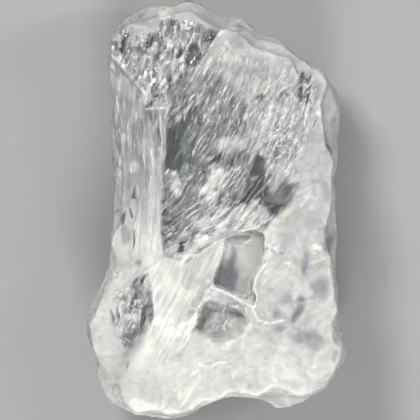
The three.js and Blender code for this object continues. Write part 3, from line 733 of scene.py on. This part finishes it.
def add_veils(at, light):
    """The lightness with clouds inside, facets of the crumbled head with painted glints, streaks, and
    threads in the pocket.
    """
    x, y, on = at.x, at.y, at.on
    light = light + mix(0.05, 0.08, at.splintery) * clouds(x / 2.5, y / 2.5, 131)
    light += 0.07 * clouds(x / 0.8, y / 0.8, 133)
    shades = 0.6 * knob_facets(x, y, 0.9, 31)[1] + 0.4 * knob_facets(x, y, 0.5, 37)[1]
    # Painted glints: a few facets of the head are painted white, as if they caught the light.
    painted_glints = step(knob_facets(x, y, 0.5, 91)[1], 0.92, 0.95)
    faceted = np.maximum(at.crumbled, 0.3 * on["hollow"])
    light += 0.18 * (shades - 0.5) * faceted
    light = mix(light, WHITE, 0.7 * painted_glints * faceted)
    light += 0.1 * noise(at.across / 0.3, at.along / 4, 128) * on["plank"] * mix(0.5, 1, step(y, 0, 6))
    light += 0.05 * noise(at.across / 0.22, at.along / 3, 134) * on["tongue"]
    tangled = threads(x / 1.5, y / 1.5, 55) - threads(x / 1.2, y / 1.2, 57)
    return light + 0.1 * tangled * on["pocket"] * (1 - on["tongue"])


def add_cracks_and_highlights(at, light, frayed_x, frayed_y):
    """The lightness with the pale lines, which are partly white healed cracks and partly painted highlights
    on thin edges and rims, and painted shadow in the open cracks.
    """
    x, y = mix(at.x, frayed_x, 0.25), mix(at.y, frayed_y, 0.25)
    faint = 0.65 + 0.35 * noise(at.x / 0.6, at.y / 0.6, 79)
    for drawn_line in (*PALE_LINES, *(edge for rise, reach, edge in RAISED_EDGES)):
        light = mix(light, PALE_LINE_LIGHT, faint * ease(1.3 - line(x, y, drawn_line) / PALE_LINE_WIDTH))
    for width, drawn_line in DARK_LINES:
        light = mix(light, HAZY, 0.7 * ease(1.3 - line(at.x, at.y, drawn_line) / width))
    return light


def upper_light(at):
    """How light the upper face looks, and how far each point lies in a clear pane."""
    fray = frayed(at)
    light, glass = add_patches(at, ground_light(at), *fray)
    return add_cracks_and_highlights(at, add_veils(at, light), *fray), glass


def standing_out(mesh, places):
    """How far each point stands out of its surroundings: above 0 on a crest and below 0 in a groove."""
    facing = read(mesh, "normal")
    everywhere = np.ones(len(places))
    return sum(
        np.einsum("ij,ij->i", places - calmed(mesh, places, everywhere, rounds), facing) / reach
        for rounds, reach in ((1, 0.04), (4, 0.11))
    )


def whole_light(at, light, stands_out):
    """How light all of the stone looks: the upper face with painted light on its crests and painted shade in
    its grooves, the flanks, painted lighter at the top and on worn rims, and painted light on the window's
    walls.
    """
    # Painted light and shade from the relief: crests are painted whiter and grooves darker.
    on = at.on
    painted_relief_shade = [0.1 * at.splintery * mix(0.6, 1, on["hairy"]), 0.1 * on["plank"], 0.12 * on["hollow"]]
    painted_relief_shade += [0.08 * on["window"], 0.04 * np.ones_like(light)]
    light = light + np.clip(stands_out, -1, 1) * np.maximum.reduce(painted_relief_shade)
    # The flanks: painted lighter towards the top, as a painted highlight on the thin rims seen from above,
    # and painted pale on worn rims, as painted light where they face away from the lamps.
    chips = 2 * crumbs(at.around, at.z, 1.1, 79)[1] - 1
    side = CLOUDY + 0.2 * clouds(at.around / 3, at.z / 3, 149) + 0.08 * chips + 0.2 * step(at.z, 9, 13)
    light = mix(mix(side, PALE, at.worn_and_painted_light), light, np.maximum(at.upward, step(at.z, 7, 11)))
    # Painted light: the steep sides of the window, which lie in shade, are painted lighter towards white.
    painted_wall_light = (1 - step(at.facing[:, 2], 0.7, 0.95)) * at.upward
    painted_wall_light *= field(at.x, at.y, SURFACES["window"][1], 1.5)
    return np.maximum(light, mix(light, WHITE, 0.8 * painted_wall_light))


def silk_share(at, light, glass):
    """How many hairs each point has: most in the sweep, in patches, and few where it is milky or clear."""
    patchy = step(clouds(at.x / 1.8, at.y / 1.8, 81), -0.6, 0.3) * (1 - 0.7 * step(light, 0.74, 0.84))
    hairs = at.splintery * mix(0.6, 1.2, at.on["hairy"]) * mix(0.4, 1, patchy)
    hairs *= (1 - 0.2 * at.on["knob"]) * (1 - 0.8 * glass)
    elsewhere = 0.4 * at.on["plank"] * step(at.y, -4, 8) + 0.6 * at.on["hollow"] + 0.08 * at.on["tongue"]
    return np.maximum(hairs, elsewhere) * at.upward


def glitter_share(at, glass):
    """How many of the small facets at each point catch the light."""
    above = [0.7 * at.glitter, 0.8 * at.crumbled, 0.5 * at.on["hollow"], 0.3 * at.splintery * (1 - glass)]
    beside = 0.4 * at.flank * step(clouds(at.around / 2.5, at.z / 2.5, 151), -0.3, 0.4)
    return np.maximum(np.maximum.reduce(above) * at.upward, beside)


def stain_share(at):
    """How much yellow iron stain each point has."""
    x, y = at.x, at.y
    stained = spots(x + 0.4 * clouds(x, y, 71), y + 0.4 * clouds(x, y, 72), STAIN)
    return 0.45 * stained * step(clouds(x / 0.8, y / 0.8, 75), -0.8, 0.5) * at.upward


def petalite_skin():
    """The skin with its relief, and the numbers that its material reads at each point."""
    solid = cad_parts["petalite"]
    mesh = skin_over(solid)
    drawn = drawn_onto(read(mesh, "co") / MM, solid)
    x, y = drawn.T[:2].copy()
    on = shares_of(x, y)
    base = blunted(mesh, drawn, on)
    at = survey(x, y, base[:, 2], read(mesh, "normal"), on)
    light, glass = upper_light(at)
    places = raised(base, at, light, glass)
    write_places(mesh, places)

    light = whole_light(at, light, standing_out(mesh, places))
    write_number(mesh, "lightness", light)
    write_number(mesh, "stain", stain_share(at))
    write_number(mesh, "silk", silk_share(at, light, glass))
    write_number(mesh, "glitter", glitter_share(at, glass))
    write_vectors(mesh, "grain", np.stack([at.across, at.along, at.z], 1))
    mesh.polygons.foreach_set("use_smooth", np.ones(len(mesh.polygons), bool))
    mesh.set_sharp_from_angle(angle=math.radians(SHARP_TURN))
    return mesh


# ---------- materials ----------


def linear(hexadecimal):
    """An sRGB colour such as "e8e6e0" as linear red, green, blue and 1."""
    shares = [int(hexadecimal[i : i + 2], 16) / 255 for i in (0, 2, 4)]
    return tuple(c / 12.92 if c <= 0.04045 else ((c + 0.055) / 1.055) ** 2.4 for c in shares) + (1.0,)


def add(tree, kind, inputs=None, out=0, **settings):
    """Adds a node with its settings and links; an input is a number, a colour or another node's output."""
    node = tree.nodes.new(kind)
    for name, value in settings.items():
        setattr(node, name, value)
    for socket, value in (inputs or {}).items():
        if isinstance(value, bpy.types.NodeSocket):
            tree.links.new(value, node.inputs[socket])
        else:
            node.inputs[socket].default_value = value
    return node.outputs[out] if node.outputs else None


def empty_material(name):
    material = bpy.data.materials.new(name)
    material.use_nodes = True
    material.node_tree.nodes.clear()
    return material, material.node_tree


# The Mix node's sockets for two colours, and its colour output.
FACTOR, COLOUR_A, COLOUR_B, MIXED = 0, 6, 7, 2

# Cells of each pattern to a millimetre: across the grain, along it and up.
STREAKS_PER_MM = (3.6, 0.5, 1.0)
FACETS_PER_MM = (3.2, 1.5, 2.0)
SPECKS_PER_MM = (3.4, 2.4, 2.4)
WISPS_PER_MM = 0.9

# Sets of hairs: the angle from the grain in radians, cells to a millimetre, and what the brightest adds.
HAIR_SETS = [
    (0.0, (4.2, 0.28, 0.0), 1.5),
    (0.2, (3.8, 0.24, 0.0), 1.3),
    (-0.14, (5.6, 0.45, 0.0), 1.2),
]


def hair_pattern(tree, grain):
    """Hairs of splintered mineral, each as bright as chance has it, in three sets that cross at a slant as
    the real ones do. Their lightness is partly the white of fine splinters and partly painted highlights
    off the splinters' faces. Real hairs are mostly too fine to show, so these are drawn as wide as they
    need to be: about 0.1 mm, and 1 to 2 mm long."""
    brightest = 0.0
    for lean, cells_per_mm, strength in HAIR_SETS:
        leaning = add(
            tree, "ShaderNodeVectorRotate", {"Vector": grain, "Angle": lean}, rotation_type="Z_AXIS"
        )
        cells = add(tree, "ShaderNodeVectorMath", {0: leaning, 1: cells_per_mm}, operation="MULTIPLY")
        far = add(tree, "ShaderNodeTexVoronoi", {"Vector": cells, "Scale": 1.0}, out="Distance")
        own = add(tree, "ShaderNodeTexVoronoi", {"Vector": cells, "Scale": 1.0}, out="Color")
        own_light = add(tree, "ShaderNodeMath", {0: own, 1: strength}, operation="MULTIPLY")
        hair = add(
            tree, "ShaderNodeMapRange",
            {"Value": far, "From Min": 0.03, "From Max": 0.24, "To Min": own_light, "To Max": 0.0},
            out="Result",
        )
        brightest = add(tree, "ShaderNodeMath", {0: brightest, 1: hair}, operation="MAXIMUM")
    return brightest


def silk_light(tree, grain, silk):
    """How much lighter the hairs make a point, partly as painted highlights, on soft streaks that are
    lighter and darker.
    """
    cells = add(tree, "ShaderNodeVectorMath", {0: grain, 1: STREAKS_PER_MM}, operation="MULTIPLY")
    streaks = add(tree, "ShaderNodeTexNoise", {"Vector": cells, "Scale": 1.0, "Detail": 2.0}, out="Fac")
    push = add(tree, "ShaderNodeMath", {0: streaks, 1: 0.56}, operation="SUBTRACT")
    hairs = hair_pattern(tree, grain)
    light = add(tree, "ShaderNodeMath", {0: push, 1: 0.8, 2: hairs}, operation="MULTIPLY_ADD")
    return add(tree, "ShaderNodeMath", {0: light, 1: silk}, operation="MULTIPLY")


def facet_tilt(tree, grain, glitter):
    """Facets of crumbled mineral, each tilted its own way, that catch the light one by one."""
    cells = add(tree, "ShaderNodeVectorMath", {0: grain, 1: FACETS_PER_MM}, operation="MULTIPLY")
    facets = add(tree, "ShaderNodeTexVoronoi", {"Vector": cells, "Scale": 1.0}, out="Color")
    tilt = add(tree, "ShaderNodeVectorMath", {0: facets, 1: (0.5, 0.5, 0.5)}, operation="SUBTRACT")
    return add(tree, "ShaderNodeVectorMath", {0: tilt, "Scale": glitter}, operation="SCALE")


def speck_light(tree, grain, glitter):
    """Painted glints: specks about 0.2 mm across, painted lighter where one small facet in six happens to
    face the light.
    """
    cells = add(tree, "ShaderNodeVectorMath", {0: grain, 1: SPECKS_PER_MM}, operation="MULTIPLY")
    far = add(tree, "ShaderNodeTexVoronoi", {"Vector": cells, "Scale": 1.0}, out="Distance")
    own = add(tree, "ShaderNodeTexVoronoi", {"Vector": cells, "Scale": 1.0}, out="Color")
    lit = add(tree, "ShaderNodeMath", {0: own, 1: 0.74}, operation="GREATER_THAN")
    lit_share = add(tree, "ShaderNodeMath", {0: lit, 1: glitter}, operation="MULTIPLY")
    return add(
        tree, "ShaderNodeMapRange",
        {"Value": far, "From Min": 0.1, "From Max": 0.4, "To Min": lit_share, "To Max": 0.0},
        out="Result",
    )


def milk_share(tree, light):
    """How much of the mineral is milk and not clear. The eye sees steps of lightness, and the shader needs
    shares of light. Up to a lightness of 0.23 all is clear, and from 0.92 all is milk."""
    shares = add(tree, "ShaderNodeMath", {0: light, 1: 2.2}, operation="POWER")
    return add(
        tree, "ShaderNodeMath", {0: shares, 1: 1.25, 2: -0.05}, operation="MULTIPLY_ADD", use_clamp=True
    )


def petalite_colour(tree, milk, stain):
    """Faintly blue where it is clear, a warmer white where it is milky, and yellow where iron stains it."""
    body = add(
        tree, "ShaderNodeMix",
        {FACTOR: milk, COLOUR_A: linear("c4c7cc"), COLOUR_B: linear("dcdcd4")}, out=MIXED, data_type="RGBA",
    )
    return add(
        tree, "ShaderNodeMix",
        {FACTOR: stain, COLOUR_A: body, COLOUR_B: linear("cdc996")}, out=MIXED, data_type="RGBA",
    )


def petalite_roughness(tree, grain, glitter):
    """From the dull, wispy gleam of a fine break to the polish of a fresh cleavage facet."""
    wisps = add(
        tree, "ShaderNodeTexNoise",
        {"Vector": grain, "Scale": WISPS_PER_MM, "Detail": 5.0, "Roughness": 0.6}, out="Fac",
    )
    dull = add(
        tree, "ShaderNodeMapRange",
        {"Value": wisps, "From Min": 0.3, "From Max": 0.7, "To Min": 0.3, "To Max": 0.5}, out="Result",
    )
    return add(tree, "ShaderNodeMapRange", {"Value": glitter, "To Min": dull, "To Max": 0.06}, out="Result")


def petalite_normal(tree, tilt, hairs):
    """The way that the surface faces, with the facets tilted and the hairs raised."""
    plain = add(tree, "ShaderNodeNewGeometry", out="Normal")
    tilted = add(tree, "ShaderNodeVectorMath", {0: plain, 1: tilt}, operation="ADD")
    faceted = add(tree, "ShaderNodeVectorMath", {0: tilted}, operation="NORMALIZE")
    return add(
        tree, "ShaderNodeBump",
        {"Height": hairs, "Strength": 0.6, "Distance": 0.1 * MM, "Normal": faceted}, out="Normal",
    )


def petalite_material():
    """Petalite as cleaved and broken: glassy and clear, silky along its splinters, and milky to white
    wherever fine veils and cracks scatter the light. The clear mineral takes about one per cent of the light
    in each millimetre, so that deep parts look darker."""
    material, tree = empty_material("cleaved_petalite")
    lightness, stain, silk, glitter = (
        add(tree, "ShaderNodeAttribute", attribute_name=name, out="Fac")
        for name in ("lightness", "stain", "silk", "glitter")
    )
    grain = add(tree, "ShaderNodeAttribute", attribute_name="grain", out="Vector")

    hairs = silk_light(tree, grain, silk)
    tilt = facet_tilt(tree, grain, glitter)
    # Painted light and shade: each facet is painted lighter or darker by its tilt across the grain, and
    # painted glints are added.
    tilt_across = add(tree, "ShaderNodeSeparateXYZ", {0: tilt})
    painted_facet_light = add(tree, "ShaderNodeMath", {0: tilt_across, 1: 0.3}, operation="MULTIPLY")
    specks = speck_light(tree, grain, glitter)
    painted_glints = add(tree, "ShaderNodeMath", {0: specks, 1: 0.5, 2: painted_facet_light}, operation="MULTIPLY_ADD")
    toned = add(tree, "ShaderNodeMath", {0: painted_glints, 1: lightness}, operation="ADD")
    light = add(tree, "ShaderNodeMath", {0: hairs, 1: toned}, operation="ADD", use_clamp=True)
    milk = milk_share(tree, light)
    clear = add(tree, "ShaderNodeMath", {0: 1.0, 1: milk}, operation="SUBTRACT", use_clamp=True)

    shader = add(
        tree,
        "ShaderNodeBsdfPrincipled",
        {
            "Base Color": petalite_colour(tree, milk, stain),
            "Roughness": petalite_roughness(tree, grain, glitter),
            "IOR": 1.51,
            "Transmission Weight": clear,
            "Subsurface Weight": 1.0,
            "Subsurface Radius": (1.0, 1.0, 1.05),
            "Subsurface Scale": 1.2 * MM,
            "Normal": petalite_normal(tree, tilt, hairs),
        },
    )
    depth = add(tree, "ShaderNodeVolumeAbsorption", {"Color": linear("c4c8cc"), "Density": 30.0})
    add(tree, "ShaderNodeOutputMaterial", {"Surface": shader, "Volume": depth})
    return material


def paper_material():
    """Matt background paper, calendered flat: one even pale tone with no gleam."""
    material, tree = empty_material("studio_paper")
    paper = add(tree, "ShaderNodeBsdfPrincipled", {"Base Color": linear("9c9c9b"), "Roughness": 0.9})
    add(tree, "ShaderNodeOutputMaterial", {"Surface": paper})
    return material


# ---------- the stone ----------


def petalite_stone():
    mesh = petalite_skin()
    mesh.materials.clear()
    mesh.materials.append(petalite_material())
    stone = bpy.data.objects.new("petalite_stone", mesh)
    bpy.context.scene.collection.objects.link(stone)
    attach(stone, "root")
    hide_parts("petalite")


# ---------- floor, light and camera ----------

FLOOR_WIDTH = 1.6  # metres

# Where each light hangs, its width and height, all in metres, and its power in watts.
LIGHTS = {
    "key_softbox": ((-0.2, 0.26, 0.4), (0.15, 0.15), 2.0),
    "side_strip": ((0.38, 0.05, 0.28), (0.06, 0.26), 0.8),
    "low_softbox": ((0.02, -0.36, 0.26), (0.18, 0.1), 1.35),
}

# The picture spans FRAME_WIDTH at FRAME_HEIGHT over the floor, where most of the upper face lies. The camera
# hangs over FRAME_MIDDLE. All are in millimetres.
FRAME_WIDTH = 48.3
FRAME_HEIGHT = 10
FRAME_MIDDLE = (-0.86, -0.1)
CAMERA_HEIGHT = 700


def floor():
    bpy.ops.mesh.primitive_plane_add(size=FLOOR_WIDTH)
    paper = bpy.context.object
    paper.name = "studio_floor"
    paper.data.materials.append(paper_material())


def lighting():
    world = bpy.data.worlds.new("studio_air")
    world.use_nodes = True
    background = world.node_tree.nodes["Background"]
    background.inputs["Color"].default_value = linear("e9edf2")
    background.inputs["Strength"].default_value = 0.32
    bpy.context.scene.world = world
    for name, (place, size, power) in LIGHTS.items():
        light = bpy.data.lights.new(name, "AREA")
        light.shape = "RECTANGLE"
        light.size, light.size_y = size
        light.energy = power
        lamp = bpy.data.objects.new(name, light)
        lamp.location = place
        lamp.rotation_euler = (-Vector(place)).to_track_quat("-Z", "Y").to_euler()
        bpy.context.scene.collection.objects.link(lamp)


def camera():
    lens = bpy.data.cameras.new("camera")
    lens.sensor_width = 36
    lens.lens = lens.sensor_width * (CAMERA_HEIGHT - FRAME_HEIGHT) / FRAME_WIDTH
    eye = bpy.data.objects.new("camera", lens)
    eye.location = [place * MM for place in (*FRAME_MIDDLE, CAMERA_HEIGHT)]
    bpy.context.scene.collection.objects.link(eye)
    bpy.context.scene.camera = eye


petalite_stone()
floor()
lighting()
camera()
bpy.context.scene.view_settings.view_transform = "Standard"
